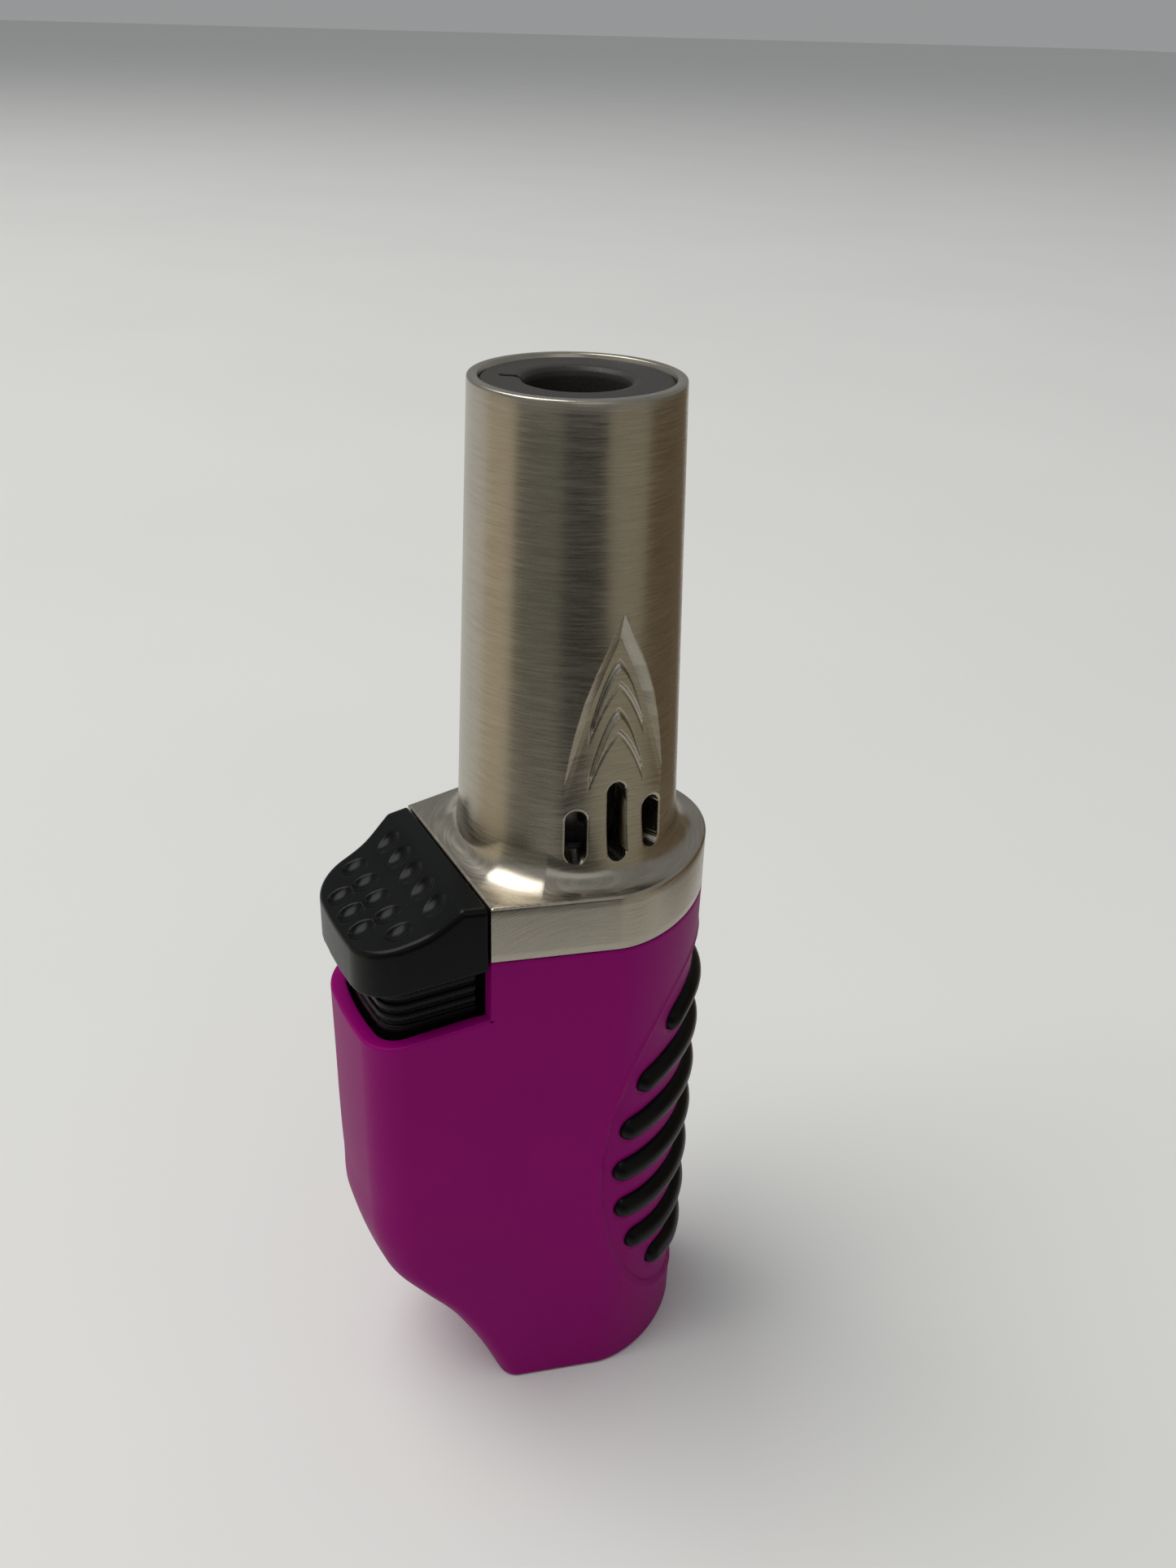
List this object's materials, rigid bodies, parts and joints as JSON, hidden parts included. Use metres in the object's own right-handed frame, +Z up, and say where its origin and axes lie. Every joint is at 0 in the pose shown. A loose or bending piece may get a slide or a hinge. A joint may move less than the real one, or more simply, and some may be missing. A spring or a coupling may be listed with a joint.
{
  "type": "butane torch",
  "caption": "Hand-held butane torch with a tapered metal burner tube, sliding thumb igniter button, moulded body, ribbed finger grip and refillable tank.",
  "frame": {"origin": "on the resting surface, under the middle of the torch's box", "axes": "+Z up the burner tube, the way the flame points; +Y to the thumb button side; -Y to the ribbed finger side; X across the width, about which the body is symmetric"},
  "size_m": [0.0364, 0.051, 0.14],
  "materials": {
    "head_metal": "brushed nickel, satin",
    "guard_metal": "dark sintered grey, satin",
    "steel": "plain",
    "brass": "machined",
    "ceramic": "glazed",
    "button_plastic": "satin black",
    "black_plastic": "matte black",
    "rubber": "matte black",
    "tank_plastic": "translucent natural",
    "body_paint": "soft-touch magenta, satin"
  },
  "bodies": {
    "root": {"base_plate": "black_plastic", "base_screws": "steel", "body_shell": "body_paint", "burner_deck": "steel", "burner_tube": "steel", "chassis": "black_plastic", "electrode": "steel", "electrode_insulator": "ceramic", "feed_tube": "brass", "finger_grip": "rubber", "flame_gauze": "steel", "flame_holder": "brass", "fuel_tank": "tank_plastic", "gas_hose": "rubber", "gas_jet": "brass", "head_screws": "steel", "head_shell": "head_metal", "ignition_lead": "rubber", "lever_pin": "steel", "nozzle_guard": "guard_metal", "piezo_barrel": "black_plastic", "piezo_crystal": "ceramic", "piezo_spring": "steel", "refill_gasket": "rubber", "refill_spring": "steel", "refill_valve_body": "brass", "regulator_housing": "brass", "tank_gasket": "rubber", "tank_lid": "tank_plastic", "valve_body": "brass", "valve_gasket": "rubber", "valve_spring": "steel"},
    "button": {"thumb_button": "button_plastic", "button_skirt": "button_plastic", "piezo_plunger": "black_plastic"},
    "lever": {"gas_lever": "steel"},
    "stem": {"valve_stem": "brass"},
    "adjuster": {"flame_adjuster": "black_plastic"},
    "refill": {"refill_stem": "brass"}
  },
  "joints": [
    {"name": "button_press", "type": "slide", "parent": "root", "child": "button", "axis": [0, 0, -1], "range_m": [0, 0.0045], "stiffness_N_per_m": 900, "springref_m": -0.002, "deforming": ["piezo_spring"]},
    {"name": "lever_rock", "type": "hinge", "parent": "root", "child": "lever", "pos_m": [0, -0.00248, 0.066], "axis": [-1, 0, 0], "range_deg": [0, 17.6]},
    {"name": "stem_lift", "type": "slide", "parent": "root", "child": "stem", "axis": [0, 0, 1], "range_m": [0, 0.0018], "deforming": ["valve_spring", "gas_hose"]},
    {"name": "flame_adjust", "type": "hinge", "parent": "root", "child": "adjuster", "pos_m": [0, -0.00098, 0], "axis": [0, 0, 1], "range_deg": [-120, 120]},
    {"name": "refill_press", "type": "slide", "parent": "root", "child": "refill", "axis": [0, 0, 1], "range_m": [0, 0.0015], "stiffness_N_per_m": 500, "springref_m": -0.001, "deforming": ["refill_spring"]}
  ],
  "couplings": [
    {"joint": "lever_rock", "follows": "button_press", "rad_per_m": 67.067},
    {"joint": "stem_lift", "follows": "button_press", "ratio": 0.3889}
  ]
}
